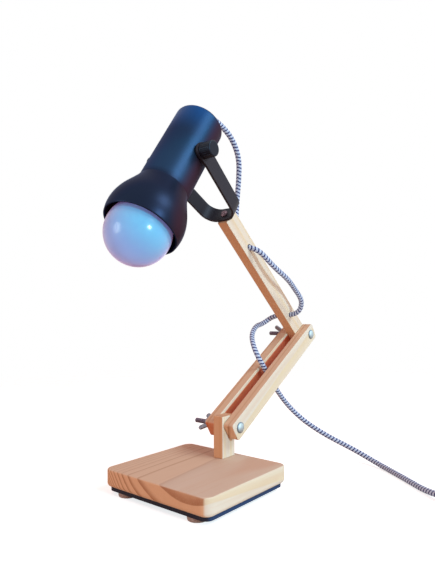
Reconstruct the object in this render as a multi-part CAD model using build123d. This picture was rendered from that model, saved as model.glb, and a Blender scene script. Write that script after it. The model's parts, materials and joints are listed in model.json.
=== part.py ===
"""Wooden swing-arm desk lamp with a painted metal spot head on a tilting yoke.

Millimetres, +Z up. The arms move in the XZ plane; the origin is the centre of the base on the table.
"""
import math
import os

from build123d import *

# Base
base_length = 120.0
base_width = 131.5
base_thick = 17.0
base_corner = 9.0
base_ease = 1.6
base_under_ease = 4.0
plate_thick = 3.6
plate_inset = 3.0
plate_corner = 7.5
foot_height = 4.2
foot_radius = 9.0
foot_from_end = 12.2
foot_from_side = 21.5

# Wooden strips
strip_width = 20.0
strip_thick = 12.0
strip_ease = 0.7
strip_corner = 3.0
side_gap = 0.3
post_from_end = 17.0
post_height = 42.5
bolt_from_post = 3.5
bolt_rise = 31.3
lower_span = 170.0
lower_angle = 31.4
slat_overhang = 9.5
upper_reach = 194.5
upper_angle = 138.1
upper_overhang = 10.0
cord_hole_high = 148.0
cord_hole_low = 36.3

# Bolts, washers and wing nuts
bolt_radius = 2.5
bolt_length = 60.0
bolt_head_radius = 5.5
bolt_head_height = 2.7
neck_depth = 3.0
turn_clearance = 0.1
seat_clearance = 0.05
washer_radius = 6.0
washer_thick = 1.0
nut_height = 6.5
wing_reach = 10.8
wing_rise = 12.6
wing_thick = 2.2
lower_wing_angle = 40.0
elbow_wing_angle = 109.0

# Yoke
yoke_angle = 145.0
yoke_reach = 80.0
yoke_width = 16.0
yoke_thick = 2.5
yoke_foot = 18.6
yoke_knee = 12.0
yoke_bend = 15.0
screw_radius = 2.0
screw_length = 32.0
screw_head_radius = 3.7
screw_head_height = 2.2

# Head shell
head_angle = 55.0
tube_radius = 24.5
tube_wall = 2.0
head_length = 136.3
end_round = 3.0
bell_length = 47.5
bell_wall = 1.6
mouth_radius = 35.0
belly_radius = 36.4
tilt_station = 90.6
leg_gap = 1.25
insert_radius = 6.0
insert_inside = 3.0
insert_proud = 0.9
knob_radius = 7.4
knob_length = 12.4

# Lamp holder and bulb
globe_radius = 30.0
globe_wall = 1.2
globe_ahead = 4.0
globe_seam = 12.0
bulb_cap_start = 50.0
bulb_cap_end = 76.0
bulb_cap_radius = 13.1
holder_radius = 19.0
holder_start = 51.0
holder_wall = 4.3
shell_wall = 0.6
nipple_radius = 5.0
nipple_bore = 3.6
gland_length = 4.5
gland_radius = 7.0

# Cord, switch and plug
cord_radius = 2.9
cord_hole_clearance = 0.5
lie = 3.0
switch_length = 56.0
switch_width = 24.0
switch_height = 17.0
switch_wall = 2.0
switch_angle = 258.5
switch_x = 100.4
switch_y = -257.2
grommet_length = 8.0
coil_x = 165.0
coil_y = -290.5
coil_mean_radius = 33.0
coil_pitch = 6.6
coil_half_turns_in = 5
coil_half_turns_out = 4
coil_lift = 1.0
tie_width = 9.0
tie_thick = 0.8
plug_length = 36.0
plug_width = 27.0
plug_height = 14.0
plug_tail = 14.0
pin_radius = 2.0
pin_length = 19.0
pin_spacing = 18.6

# Heights and places that follow from the sizes above
plate_z = foot_height
block_z = plate_z + plate_thick
deck_z = block_z + base_thick
post_x = base_length / 2 - post_from_end
bolt_x = post_x + bolt_from_post
bolt_z = deck_z + bolt_rise
slat_inner = strip_thick / 2 + side_gap
slat_outer = slat_inner + strip_thick


def heading(angle):
    """Unit vector in the XZ plane at an angle above +X."""
    a = math.radians(angle)
    return Vector(math.cos(a), 0, math.sin(a))


def arm_frame(point, angle):
    """Plane with X along an arm, Y the world's Y and Z across the arm."""
    return Plane(origin=point, x_dir=heading(angle), z_dir=heading(angle + 90))


def spin_frame(point, angle):
    """Plane with X the world's Y and Z along a heading in the XZ plane."""
    return Plane(origin=point, x_dir=(0, 1, 0), z_dir=heading(angle))


def side_frame(point, y, toward, turn=0.0):
    """Plane on the side of an arm, with Z along Y toward +1 or -1."""
    origin = (point.X, y, point.Z)
    return Plane(origin=origin, x_dir=heading(turn), z_dir=(0, toward, 0))


def lathe(*points):
    """Solid of revolution about Z from (radius, height) points."""
    outline = Polyline(*[(r, 0, z) for r, z in points], close=True)
    return revolve(make_face(outline), Axis.Z)


def rod(radius, low, high):
    """Cylinder on the Z axis between two heights."""
    return Pos(0, 0, (low + high) / 2) * Cylinder(radius, high - low)


def rod_y(radius, low, high, x=0.0, z=0.0):
    """Cylinder along Y between two stations."""
    return Pos(x, (low + high) / 2, z) * Rot(90, 0, 0) * Cylinder(radius, high - low)


def block(x0, x1, y0, y1, z0, z1):
    """Box between two corners."""
    centre = Pos((x0 + x1) / 2, (y0 + y1) / 2, (z0 + z1) / 2)
    return centre * Box(x1 - x0, y1 - y0, z1 - z0)


def wood_screw(length, radius, head_radius, head_height):
    """Countersunk wood screw, head face at Z 0 and point at +length."""
    return lathe(
        (0, 0),
        (head_radius, 0),
        (head_radius, 0.4),
        (radius, head_height),
        (radius, length - 4),
        (0.4, length),
        (0, length),
    )


lower_pivot = Vector(bolt_x, 0, bolt_z)
elbow = lower_pivot + heading(lower_angle) * lower_span
yoke_seat = elbow + heading(upper_angle) * upper_reach
tilt_pivot = yoke_seat + heading(yoke_angle) * yoke_reach
mouth = tilt_pivot - heading(head_angle) * tilt_station
lower_frame = arm_frame(lower_pivot, lower_angle)
upper_frame = arm_frame(elbow, upper_angle)
yoke_frame = spin_frame(yoke_seat, yoke_angle)
head_frame = spin_frame(mouth, head_angle)
pieces = {}

# Base block, plate and feet
corners = [(sx, sy) for sx in (-1, 1) for sy in (-1, 1)]
deck = Box(base_length, base_width, base_thick)
deck = fillet(deck.edges().filter_by(Axis.Z), base_corner)
deck = fillet(deck.faces().sort_by(Axis.Z)[-1].edges(), base_ease)
deck = fillet(deck.faces().sort_by(Axis.Z)[0].edges(), base_under_ease)
deck = Pos(0, 0, block_z + base_thick / 2) * deck
plate = Box(base_length - 2 * plate_inset, base_width - 2 * plate_inset, plate_thick)
plate = fillet(plate.edges().filter_by(Axis.Z), plate_corner)
plate = Pos(0, 0, plate_z + plate_thick / 2) * plate

plate_screw_x = base_length / 2 - 30
plate_screw_y = base_width / 2 - 14
plate_screw = wood_screw(14.0, 1.75, 3.6, 2.4)
plate_socket = wood_screw(14.5, 1.75 + seat_clearance, 3.6 + seat_clearance, 2.5)
plate_screws = Part()
for sx, sy in corners:
    place = Pos(sx * plate_screw_x, sy * plate_screw_y, plate_z)
    plate_screws += place * plate_screw
    plate -= place * plate_socket
    deck -= place * plate_socket

foot_x = base_length / 2 - foot_from_end
foot_y = base_width / 2 - foot_from_side
feet = Part()
for sx, sy in corners:
    feet += Pos(sx * foot_x, sy * foot_y, 0) * rod(foot_radius, 0, foot_height)

# Post and its screw
post = Box(strip_width, strip_thick, post_height)
post = fillet(post.edges(), strip_ease)
post = Pos(post_x, 0, deck_z + post_height / 2) * post
post -= rod_y(bolt_radius + turn_clearance, -slat_inner, slat_inner, bolt_x, bolt_z)
post_screw_length = base_thick + bolt_rise - 14
post_screw = Pos(post_x, 0, block_z) * wood_screw(post_screw_length, 2.25, 4.5, 3.2)
screw_socket = Pos(post_x, 0, block_z) * wood_screw(
    post_screw_length + 0.6, 2.25 + seat_clearance, 4.5 + seat_clearance, 3.3
)
deck -= screw_socket
post -= screw_socket
pieces["base_block"] = deck
pieces["base_plate"] = plate
pieces["plate_screws"] = plate_screws
pieces["base_feet"] = feet
pieces["post"] = post
pieces["post_screw"] = post_screw


def strip(start, end, low, high):
    """Pine strip in an arm's frame, between two stations and two sides."""
    bar = Box(end - start, high - low, strip_width)
    bar = fillet(bar.edges().filter_by(Axis.Y), strip_corner)
    bar = fillet(bar.faces().filter_by(Axis.Y).edges(), strip_ease)
    return Pos((start + end) / 2, (low + high) / 2, 0) * bar


# Slats of the lower arm
slat_end = lower_span + slat_overhang
near_slat = strip(-slat_overhang, slat_end, -slat_outer, -slat_inner)
far_slat = strip(-slat_overhang, slat_end, slat_inner, slat_outer)
neck_side = 2 * bolt_radius + 0.4
for station in (0, lower_span):
    bore = rod_y(bolt_radius + seat_clearance, -slat_outer - 1, slat_outer + 1, station)
    near_slat -= bore
    far_slat -= bore
    neck_half = neck_side / 2 + seat_clearance
    near_slat -= block(
        station - neck_half,
        station + neck_half,
        -slat_outer - 1,
        -slat_outer + neck_depth + seat_clearance,
        -neck_half,
        neck_half,
    )
pieces["slat_near"] = lower_frame * near_slat
pieces["slat_far"] = lower_frame * far_slat


def pivot_bolt():
    """Round-headed bolt with a square neck, head seat at Z 0 and shank toward +Z."""
    rim = 0.7
    rise = bolt_head_height - rim
    ball = (bolt_head_radius**2 + rise**2) / (2 * rise)
    head = rod(bolt_head_radius, -bolt_head_height, 0)
    head &= Pos(0, 0, ball - bolt_head_height) * Sphere(ball)
    shank = rod(bolt_radius, 0, bolt_length)
    shank = chamfer(shank.edges().sort_by(Axis.Z)[-1], 0.6)
    neck = Pos(0, 0, neck_depth / 2) * Box(neck_side, neck_side, neck_depth)
    return head + neck + shank


def wing_nut():
    """Wing nut standing on Z 0 with its wings along X."""
    nut = lathe((0, 0), (4.9, 0), (4.2, nut_height), (0, nut_height))
    lobe_width = 5.4
    tip_x = wing_reach - lobe_width / 2
    tip_z = wing_rise - lobe_width / 2
    root_x = 3.0
    root_z = lobe_width / 2 + 0.6
    lean = math.degrees(math.atan2(tip_z - root_z, tip_x - root_x))
    run = math.hypot(tip_x - root_x, tip_z - root_z)
    lobe = Plane.XZ * Pos((tip_x + root_x) / 2, (tip_z + root_z) / 2) * Rot(0, 0, lean) * (
        SlotCenterToCenter(run, lobe_width)
    )
    wing = extrude(lobe, wing_thick / 2, both=True)
    wing = fillet(wing.edges().group_by(Axis.Y)[0] + wing.edges().group_by(Axis.Y)[-1], 0.6)
    nut += wing + mirror(wing, Plane.YZ)
    return nut - rod(bolt_radius + seat_clearance, -1, wing_rise)


# Pivot bolts with their washers and wing nuts
washer = rod(washer_radius, 0, washer_thick) - rod(bolt_radius + 0.15, -1, 2)
for name, point, turn in (
    ("lower", lower_pivot, lower_wing_angle),
    ("elbow", elbow, elbow_wing_angle),
):
    arm_turn = lower_angle
    pieces[f"{name}_bolt"] = side_frame(point, -slat_outer, 1, arm_turn) * pivot_bolt()
    pieces[f"{name}_washer"] = side_frame(point, slat_outer, 1) * washer
    nut_y = slat_outer + washer_thick
    pieces[f"{name}_wing_nut"] = side_frame(point, nut_y, 1, turn) * wing_nut()

# Upper arm, its end cut square to the yoke
cord_bore = cord_radius + cord_hole_clearance
upper = strip(-upper_overhang, upper_reach + strip_width, -strip_thick / 2, strip_thick / 2)
upper -= rod_y(bolt_radius + turn_clearance, -strip_thick, strip_thick)
for station in (cord_hole_high, cord_hole_low):
    upper -= rod_y(cord_bore, -strip_thick, strip_thick, station)
upper = upper_frame * upper
upper -= yoke_frame * block(-40, 40, -40, 40, -yoke_thick / 2, 60)
screw_under = yoke_thick / 2
screw_hole = rod(screw_radius + seat_clearance, screw_under - screw_length - 0.5, screw_under)
upper -= yoke_frame * screw_hole
pieces["upper_arm"] = upper

# Screw that holds the yoke
screw = lathe(
    (0, screw_under + screw_head_height),
    (0.7 * screw_head_radius, screw_under + screw_head_height),
    (screw_head_radius, screw_under + 0.5 * screw_head_height),
    (screw_head_radius, screw_under),
    (screw_radius, screw_under),
    (screw_radius, screw_under - screw_length + 4),
    (0.4, screw_under - screw_length),
    (0, screw_under - screw_length),
)
slot = screw_under + screw_head_height
screw -= block(-4, 4, -0.4, 0.4, slot - 0.9, slot + 1)
pieces["yoke_screw"] = yoke_frame * (Rot(0, 0, 35) * screw)

# Yoke strap with flared legs
leg_inner = tube_radius + leg_gap
leg_outer = leg_inner + yoke_thick
leg_mid = leg_inner + yoke_thick / 2
half = yoke_thick / 2
knee_z = yoke_reach - yoke_knee
flare = math.atan2(leg_mid - yoke_foot, knee_z)
corner_shift = half * (1 - math.sin(flare)) / math.cos(flare)
outer_knee = ((leg_outer - yoke_foot) * math.cos(flare) - half) / math.sin(flare)
inner_knee = ((leg_inner - yoke_foot) * math.cos(flare) + half) / math.sin(flare)
yoke_top = yoke_reach + yoke_width / 2


def strap_side(foot_x, foot_z, side_x, side_knee, top, bend):
    """Face of one side of the strap, filled across, with bent lower corners."""
    outline = Polyline(
        (-side_x, top),
        (-side_x, side_knee),
        (-foot_x, foot_z),
        (foot_x, foot_z),
        (side_x, side_knee),
        (side_x, top),
        close=True,
    )
    face = make_face(outline)
    return fillet(face.vertices().group_by(Axis.Y)[0], bend)


outside = strap_side(
    yoke_foot + corner_shift, -half, leg_outer, outer_knee, yoke_top, yoke_bend + half
)
inside = strap_side(
    yoke_foot - corner_shift, half, leg_inner, inner_knee, yoke_top + 5, yoke_bend - half
)
yoke = extrude(Plane.XZ * (outside - inside), yoke_width / 2, both=True)
trim = block(-60, 60, -yoke_width, yoke_width, -half - 1, yoke_reach)
trim += Pos(0, 0, yoke_reach) * Rot(0, 90, 0) * Cylinder(yoke_width / 2, 120)
yoke &= trim
yoke -= Pos(0, 0, yoke_reach) * Rot(0, 90, 0) * Cylinder(bolt_radius + 0.15, 120)
yoke -= rod(screw_radius + 0.15, -2 * yoke_thick, 2 * yoke_thick)
pieces["yoke"] = yoke_frame * yoke

# Head shell: bell, tube and closed end
end_in = head_length - tube_wall
nipple_hole = nipple_radius + seat_clearance


def bell_curve(wall):
    """Bell profile from the mouth to the tube, set in by a wall."""
    slope = belly_radius - tube_radius
    return Spline(
        (mouth_radius - wall, 0, 0),
        (belly_radius - wall, 0, 0.19 * bell_length),
        (belly_radius - 0.2 * slope - wall, 0, 0.505 * bell_length),
        (belly_radius - 0.63 * slope - wall, 0, 0.76 * bell_length),
        (tube_radius - wall, 0, bell_length),
    )


arc_mid = end_round * (1 - math.sqrt(0.5))
shell_line = bell_curve(0)
shell_line += Line((tube_radius, 0, bell_length), (tube_radius, 0, head_length - end_round))
shell_line += ThreePointArc(
    (tube_radius, 0, head_length - end_round),
    (tube_radius - arc_mid, 0, head_length - arc_mid),
    (tube_radius - end_round, 0, head_length),
)
shell_line += Polyline(
    (tube_radius - end_round, 0, head_length),
    (nipple_hole, 0, head_length),
    (nipple_hole, 0, end_in),
    (tube_radius - end_round, 0, end_in),
    (tube_radius - tube_wall, 0, head_length - end_round),
    (tube_radius - tube_wall, 0, bell_length),
    (tube_radius - bell_wall, 0, bell_length),
)
shell_line += bell_curve(bell_wall)
shell_line += ThreePointArc(
    (mouth_radius - bell_wall, 0, 0),
    (mouth_radius - bell_wall / 2, 0, -bell_wall / 2),
    (mouth_radius, 0, 0),
)
shell = revolve(make_face(shell_line), Axis.Z)
insert_out = tube_radius + insert_proud
insert_in = tube_radius - insert_inside
at_tilt = Pos(0, 0, tilt_station)
shell -= at_tilt * Rot(0, 90, 0) * Cylinder(insert_radius + seat_clearance, 4 * tube_radius)
pieces["head_shell"] = head_frame * shell

# Threaded inserts and tilt knobs
inserts = Part()
for side in (-1, 1):
    boss = rod(insert_radius, insert_in, insert_out) - rod(bolt_radius + 0.1, 0, insert_out + 1)
    inserts += at_tilt * Rot(0, 90 * side, 0) * boss
pieces["pivot_inserts"] = head_frame * inserts
knob_seat = leg_outer + 0.2
knob = rod(knob_radius, knob_seat, knob_seat + knob_length)
knob = fillet(knob.edges().sort_by(Axis.Z)[-1], 1.4)
knob = chamfer(knob.edges().sort_by(Axis.Z)[0], 0.6)
knob += rod(bolt_radius, insert_in + 0.4, knob_seat + 1)
groove_length = knob_length - 3.8
groove_z = knob_seat + knob_length / 2
for index in range(24):
    groove = Pos(knob_radius + 0.25, 0, groove_z) * Cylinder(0.5, groove_length)
    knob -= Rot(0, 0, 15 * index) * groove
pieces["tilt_knob_near"] = side_frame(tilt_pivot, 0, -1, head_angle) * knob
pieces["tilt_knob_far"] = side_frame(tilt_pivot, 0, 1, head_angle) * knob

# Lamp holder on its nipple
holder_floor = bulb_cap_end + 1.5
holder_end = holder_floor + holder_wall
holder_bore = holder_radius - holder_wall
holder = rod(holder_radius, holder_start, holder_end)
holder = fillet(holder.edges().sort_by(Axis.Z)[0], 1.5)
holder -= rod(holder_bore, holder_start - 1, holder_floor)
holder -= rod(2.2, holder_floor - 1, holder_end + 1)
shell_out = holder_bore - seat_clearance
screw_shell = rod(shell_out, holder_start + 2, holder_floor - 1.2)
screw_shell -= rod(shell_out - shell_wall, holder_start, holder_floor)
contact = rod(5.0, holder_floor - 0.9, holder_floor) + rod(2.1, holder_floor - 0.5, holder_end)
cap_start = holder_end
cap_end = cap_start + 18.0
holder_cap = lathe(
    (holder_radius, cap_start),
    (holder_radius, cap_start + 8),
    (9.0, cap_end),
    (nipple_radius + seat_clearance, cap_end),
    (nipple_radius + seat_clearance, cap_end - 6),
    (8.0, cap_end - 6),
    (holder_radius - 2.5, cap_start + 7),
    (holder_radius - 2.5, cap_start),
)
gland_end = head_length + gland_length
nipple_end = gland_end - 1.5
nipple = rod(nipple_radius, cap_end - 6, nipple_end)
nipple -= rod(nipple_bore, 0, gland_end)
nut_low = end_in - 3.0
nut = extrude(Pos(0, 0, nut_low) * RegularPolygon(8.0, 6), 3.0)
nut -= rod(nipple_radius + seat_clearance, 0, head_length)
gland = rod(gland_radius, head_length, gland_end)
gland = fillet(gland.edges().sort_by(Axis.Z)[-1], 1.0)
gland -= rod(nipple_radius + seat_clearance, 0, nipple_end + seat_clearance)
gland -= rod(cord_radius + 0.2, 0, gland_end + 1)
inner_cord = rod(cord_radius, cap_end - 5, gland_end)
pieces["holder_body"] = head_frame * holder
pieces["holder_screw_shell"] = head_frame * screw_shell
pieces["holder_contact"] = head_frame * contact
pieces["holder_cap"] = head_frame * holder_cap
pieces["nipple"] = head_frame * nipple
pieces["nipple_nut"] = head_frame * nut
pieces["cord_gland"] = head_frame * gland
pieces["cord_in_head"] = head_frame * inner_cord

# Bulb
globe_z = -globe_ahead
seam_run = globe_seam - globe_z
seam_radius = math.sqrt(globe_radius**2 - seam_run**2)
globe = Pos(0, 0, globe_z) * (Sphere(globe_radius) - Sphere(globe_radius - globe_wall))
globe -= block(-40, 40, -40, 40, globe_seam, 60)
neck_radius = bulb_cap_radius + 0.8
body_line = Polyline(
    (neck_radius, 0, bulb_cap_start),
    (0, 0, bulb_cap_start),
    (0, 0, globe_seam),
    (seam_radius, 0, globe_seam),
)
body_line += Spline(
    (seam_radius, 0, globe_seam),
    (0.62 * seam_radius + 0.38 * neck_radius, 0, 0.55 * globe_seam + 0.45 * bulb_cap_start),
    (neck_radius, 0, bulb_cap_start),
)
bulb_body = revolve(make_face(body_line), Axis.Z)
board = rod(seam_radius - globe_wall - 2.0, globe_seam - 1.6, globe_seam)
thread_pitch = 3.6
cap_outline = [(0, bulb_cap_start), (bulb_cap_radius - 0.9, bulb_cap_start)]
for index in range(5):
    ridge = bulb_cap_start + 2.0 + thread_pitch * index
    cap_outline.append((bulb_cap_radius - 0.9, ridge))
    cap_outline.append((bulb_cap_radius, ridge + thread_pitch / 2))
cap_outline.append((bulb_cap_radius - 0.9, bulb_cap_end - 4.5))
cap_outline.append((5.5, bulb_cap_end - 1.2))
cap_outline.append((0, bulb_cap_end - 1.2))
bulb_cap = lathe(*cap_outline)
bulb_contact = rod(4.4, bulb_cap_end - 1.2, bulb_cap_end)
pieces["bulb_globe"] = head_frame * globe
pieces["bulb_body"] = head_frame * bulb_body
pieces["bulb_led_board"] = head_frame * board
pieces["bulb_cap"] = head_frame * bulb_cap
pieces["bulb_contact"] = head_frame * bulb_contact


def corner_radii(points):
    """Radius for each corner of a route; two corners share a run so that their radii agree."""
    steps = [b - a for a, b in zip(points, points[1:])]
    bends = [math.tan(math.radians(a.get_angle(b)) / 2) for a, b in zip(steps, steps[1:])]
    ends = [0.0] + bends + [0.0]
    rooms = [0.94 * step.length for step in steps]
    rooms[0] *= 0.85
    rooms[-1] *= 0.85
    limits = [room / (a + b) for room, a, b in zip(rooms, ends, ends[1:])]
    return [min(a, b, 90.0) for a, b in zip(limits, limits[1:])]


def tube(path, name):
    """Round cord along a path, with its length and its volume against section by length."""
    section = Plane(origin=path @ 0, z_dir=path % 0) * Circle(cord_radius)
    solid = sweep(section, path)
    expected = math.pi * cord_radius**2 * path.length
    ratio = solid.volume / expected
    print(f"{name}: length {path.length:.0f} mm, volume {ratio:.3f} of section by length")
    return solid


def cord(name, *points):
    """Cord through a route of straight runs and tangent arcs."""
    route = [Vector(*p) for p in points]
    radii = corner_radii(route)
    print(name, "radii", [round(r, 1) for r in radii])
    return tube(FilletPolyline(*route, radius=radii), name)


def on_arm(station, across, y):
    """Point beside the upper arm: along it from the elbow, up from its middle line, and in Y."""
    spot = elbow + heading(upper_angle) * station - heading(upper_angle + 90) * across
    return (spot.X, y, spot.Z)


# Cord on the lamp
gland_tip = mouth + heading(head_angle) * gland_end
gland_run = gland_tip + heading(head_angle) * 10
in_gap = Vector(126.0, 0, 98.5)
gap_way = Vector(21.0, 0, -24.3).normalized()
pieces["cord_head_loop"] = cord(
    "cord_head_loop",
    gland_tip,
    gland_run,
    (37.1, 1.8, 370.4),
    (59.9, 0.6, 359.3),
    (75.3, 2.4, 341.2),
    (81.4, 7.6, 320.2),
    (85.5, 13.4, 299.6),
    (88.0, 22.0, 275.8),
    on_arm(cord_hole_high, 0, 26),
    on_arm(cord_hole_high, 0, 0),
)
pieces["cord_arm_loop"] = cord(
    "cord_arm_loop",
    on_arm(cord_hole_high, 0, 0),
    on_arm(cord_hole_high, 0, -15),
    on_arm(132.7, -1.7, -16.8),
    on_arm(117.7, 1.9, -21.2),
    on_arm(88.1, 11.2, -19.4),
    on_arm(61.9, 17.7, -18.4),
    on_arm(45.0, 15.9, -21.8),
    on_arm(cord_hole_low, 0, -17),
    on_arm(cord_hole_low, 0, 0),
)
pieces["cord_elbow_loop"] = cord(
    "cord_elbow_loop",
    on_arm(cord_hole_low, 0, 0),
    on_arm(cord_hole_low, 0, 18),
    (149.7, 22.4, 158.1),
    (138.7, 26.5, 155.2),
    (116.4, 15.8, 151.9),
    (107.3, 6.0, 132.0),
    in_gap - gap_way * 21,
    in_gap,
)

# Cord to the switch, laid along the floor
switch_way = Vector(math.cos(math.radians(switch_angle)), math.sin(math.radians(switch_angle)), 0)
cord_z = switch_height / 2
switch_centre = Vector(switch_x, switch_y, cord_z)
switch_in = switch_centre - switch_way * (switch_length / 2 + grommet_length)
switch_out = switch_centre + switch_way * (switch_length / 2 + grommet_length)
pieces["cord_to_switch"] = cord(
    "cord_to_switch",
    in_gap,
    in_gap + gap_way * 32,
    (168.3, -14.1, 46.1),
    (179.9, -41.7, 27.2),
    (188.5, -74.0, 13.6),
    (184.5, -106.0, lie),
    (154.5, -145.0, lie),
    (127.0, -178.5, lie),
    switch_in - switch_way * 15,
    switch_in,
)

# Inline switch: two halves, rocker on a pin, terminals, screws and grommets
switch_frame = Plane(origin=(switch_x, switch_y, 0), x_dir=switch_way, z_dir=(0, 0, 1))
outer_plan = RectangleRounded(switch_length, switch_width, 7.0)
inner_plan = RectangleRounded(
    switch_length - 2 * switch_wall, switch_width - 2 * switch_wall, 7.0 - switch_wall
)
case = extrude(outer_plan, switch_height)
case = fillet(case.faces().sort_by(Axis.Z)[-1].edges(), 2.5)
case = fillet(case.faces().sort_by(Axis.Z)[0].edges(), 1.0)
hollow = Pos(0, 0, switch_wall) * extrude(inner_plan, switch_height - 2 * switch_wall)
case -= hollow
screw_spots = [(-20.0, 5.0), (20.0, -5.0)]
for x, y in screw_spots:
    case += Pos(x, y, 0) * rod(3.2, 0.8 * switch_wall, switch_height - 0.8 * switch_wall)
rocker_radius = 9.6
rocker_half = 5.7
rocker_gap = 0.4
rocker_z = switch_height - 4.0
opening = block(
    -rocker_radius - rocker_gap,
    rocker_radius + rocker_gap,
    -rocker_half - rocker_gap,
    rocker_half + rocker_gap,
    rocker_z,
    switch_height + 5,
)
lug_y = rocker_half + rocker_gap
for side in (-1, 1):
    y0, y1 = sorted((side * lug_y, side * (lug_y + 1.8)))
    case += block(-3, 3, y0, y1, rocker_z - 3, switch_height - 0.8 * switch_wall)
case -= opening
pin_reach = lug_y + 1.5
case -= rod_y(1.0 + seat_clearance, -pin_reach - 0.1, pin_reach + 0.1, 0, rocker_z)
screw_shank = 1.3
case_screws = Part()
for x, y in screw_spots:
    case_screw = rod(2.4, 0.6, 2.4) + rod(screw_shank, 2.4, switch_height - 4)
    case_socket = rod(2.4 + seat_clearance, -1, 2.4 + seat_clearance)
    case_socket += rod(screw_shank + seat_clearance, 0, switch_height - 3.6)
    case_screws += Pos(x, y, 0) * case_screw
    case -= Pos(x, y, 0) * case_socket
lower_half = case & block(-60, 60, -30, 30, -1, cord_z)
upper_half = case & block(-60, 60, -30, 30, cord_z, switch_height + 1)
terminals = Part()
for side in (-1, 1):
    terminals += Pos(side * 9, 0, switch_wall + 2) * Box(9, 6, 4)
rocker_rise = switch_height - rocker_z
rock = math.radians(8)
rocker_top = make_face(
    Polyline(
        (-12, -2.4),
        (12, -2.4),
        (12, rocker_rise + 0.6 + 12 * math.tan(rock)),
        (0, rocker_rise + 0.6),
        (-12, rocker_rise + 0.6 + 12 * math.tan(rock)),
        close=True,
    )
)
rocker = extrude(Plane.XZ * (rocker_top & Circle(rocker_radius)), rocker_half, both=True)
rocker -= rod_y(1.0 + turn_clearance, -10, 10)
rocker = Pos(0, 0, rocker_z) * Rot(0, -8, 0) * rocker
grommets = Part()
for turn in (0, 180):
    sleeve = lathe((0, 0), (5.2, 0), (4.0, grommet_length), (0, grommet_length))
    sleeve = Pos(switch_length / 2, 0, cord_z) * Rot(0, 90, 0) * sleeve
    grommets += Rot(0, 0, turn) * sleeve
pieces["switch_lower"] = switch_frame * lower_half
pieces["switch_upper"] = switch_frame * upper_half
pieces["switch_screws"] = switch_frame * case_screws
pieces["switch_terminals"] = switch_frame * terminals
pieces["switch_rocker"] = switch_frame * rocker
pieces["rocker_pin"] = switch_frame * rod_y(1.0, -pin_reach, pin_reach, 0, rocker_z)
pieces["switch_grommets"] = switch_frame * grommets


def biarc(start, start_way, end, end_way):
    """Two tangent arcs from one point and direction to another."""
    chord = end - start
    both = start_way + end_way
    spread = 2 * (1 - start_way.dot(end_way))
    along = chord.dot(both)
    reach = (math.sqrt(along**2 + spread * chord.dot(chord)) - along) / spread
    first = start + start_way * reach
    last = end - end_way * reach
    joint = (first + last) * 0.5
    middle_way = (last - first).normalized()
    return [
        TangentArc(start, joint, tangent=start_way),
        TangentArc(joint, end, tangent=middle_way),
    ]


# Coil: loops that spiral in on the floor, climb, and spiral out on top
coil_centre = Vector(coil_x, coil_y, 0)
coil_low = cord_radius + coil_lift
coil_outer = coil_mean_radius + coil_pitch * coil_half_turns_in / 4


def coil_stop(half_turn):
    """Point and direction on the coil after a number of half turns."""
    inward = min(half_turn, coil_half_turns_in)
    climbed = min(max(half_turn - coil_half_turns_in, 0), 1)
    outward = max(half_turn - coil_half_turns_in - 1, 0)
    rising = 0 < climbed < 1
    radius = coil_outer - coil_pitch / 2 * (inward - outward)
    if rising:
        radius -= coil_pitch / 4
    slope = 1.5 * coil_pitch / (math.pi * radius) if rising else 0
    turn = math.radians(180 * half_turn - 90)
    height = coil_low + coil_pitch * climbed
    spot = coil_centre + Vector(radius * math.cos(turn), radius * math.sin(turn), height)
    return spot, Vector(-math.sin(turn), math.cos(turn), slope).normalized()


coil_half_turns = coil_half_turns_in + coil_half_turns_out + 1
coil_counts = list(range(coil_half_turns + 1)) + [coil_half_turns_in + 0.5, coil_half_turns + 0.5]
coil_stops = [coil_stop(count) for count in sorted(coil_counts)]
coil_arcs = []
for (a, a_way), (b, b_way) in zip(coil_stops, coil_stops[1:]):
    coil_arcs += biarc(a, a_way, b, b_way)
coil_path = Wire(coil_arcs)
pieces["cord_coil"] = tube(coil_path, "cord_coil")
samples = [coil_path @ (i / 900) for i in range(901)]
skip = int(900 * 40 / coil_path.length)
nearest = min(
    (samples[i] - samples[j]).length
    for i in range(0, 901)
    for j in range(i + skip, 901)
)
print(f"cord_coil: least gap to itself {nearest - 2 * cord_radius:.2f} mm")

# Cord from the switch into the coil
coil_start = coil_stops[0][0]
first_turn = switch_out + switch_way * 16
second_turn = Vector(coil_start.X - 52, coil_start.Y, coil_start.Z)
pieces["cord_to_coil"] = cord(
    "cord_to_coil",
    switch_out,
    first_turn,
    second_turn,
    coil_start,
)

# Tie round the coil
tie_in = coil_outer - coil_pitch * coil_half_turns_in / 2 - cord_radius - 1.0
tie_out = coil_outer + cord_radius + 0.5
tie_top = coil_low + coil_pitch + cord_radius + 0.4
tie_bottom = tie_thick
band = block(
    tie_in - tie_thick, tie_out + tie_thick, -tie_width / 2, tie_width / 2, 0, tie_top + tie_thick
)
band = fillet(band.edges().filter_by(Axis.Y), 1.6)
band -= block(tie_in, tie_out, -tie_width, tie_width, tie_bottom, tie_top)
pieces["coil_tie"] = Pos(coil_x, coil_y, 0) * Rot(0, 0, 60) * band

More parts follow.
